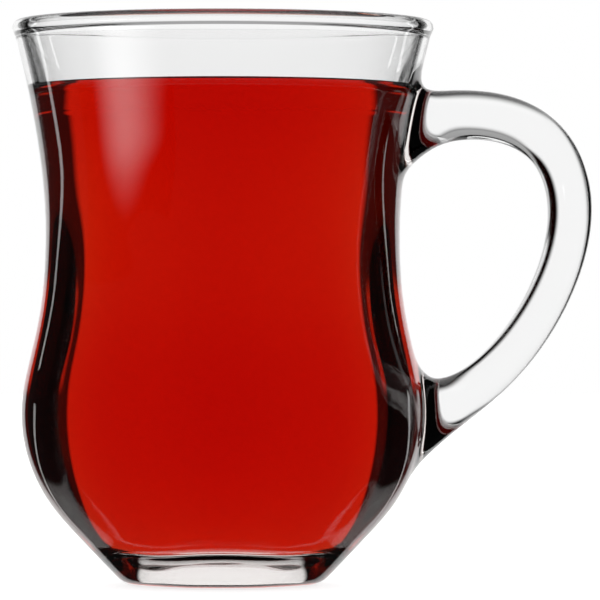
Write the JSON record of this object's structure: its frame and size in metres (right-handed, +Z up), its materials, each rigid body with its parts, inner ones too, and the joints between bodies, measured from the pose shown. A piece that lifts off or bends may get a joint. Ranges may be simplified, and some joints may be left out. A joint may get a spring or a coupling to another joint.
{
  "type": "tea glass with handle",
  "caption": "Pressed glass tea mug with a slim waist, soft upright panels, a rounded rim and a looped handle, filled with red tea.",
  "frame": {"origin": "centre of the foot's flat underside, on the surface the glass stands on", "axes": "+Z up the middle of the glass, +X towards the handle, +Y away from a viewer who has the handle on the right"},
  "size_m": [0.0893, 0.065, 0.0865],
  "materials": {
    "glass": "clear pressed soda glass, polished",
    "tea": "clear deep red brewed tea"
  },
  "bodies": {
    "root": {"glass": "glass", "tea": "tea"}
  },
  "joints": []
}
